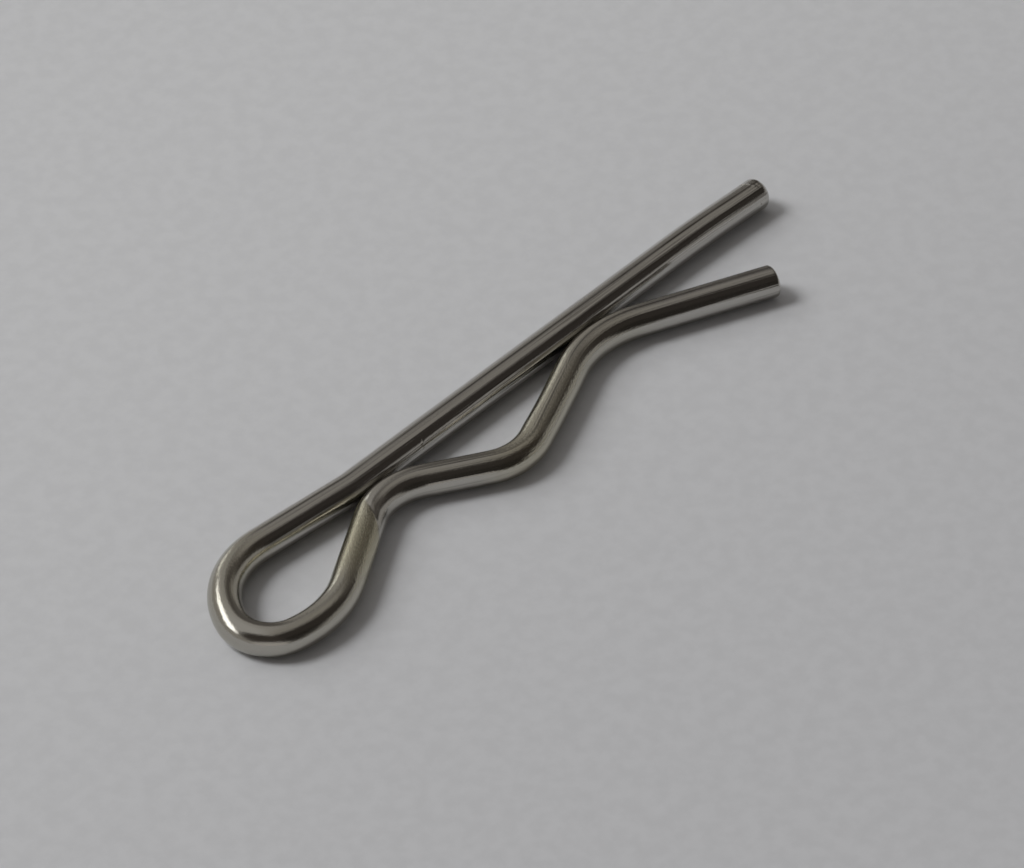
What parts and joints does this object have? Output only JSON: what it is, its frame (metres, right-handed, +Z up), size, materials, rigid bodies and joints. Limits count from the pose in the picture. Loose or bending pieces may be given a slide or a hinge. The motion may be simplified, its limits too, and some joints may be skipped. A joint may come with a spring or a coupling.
{
  "type": "spring cotter pin",
  "caption": "Spring cotter bent from round wire: a straight leg for a cross-drilled hole, a teardrop loop, and a sprung wavy leg whose bump clasps the shaft.",
  "frame": {"origin": "on the surface that the pin lies on, under the middle of its box", "axes": "+X along the straight leg towards its tip, +Y from the wavy leg towards the straight leg, +Z up, square to the flat of the bent wire"},
  "size_m": [0.051, 0.009, 0.002],
  "materials": {
    "plated_wire": "drawn spring steel wire with a thin semi-bright zinc plate, faint drawing lines along the wire and small bending marks"
  },
  "bodies": {
    "root": {"spring_wire": "plated_wire"}
  },
  "joints": []
}
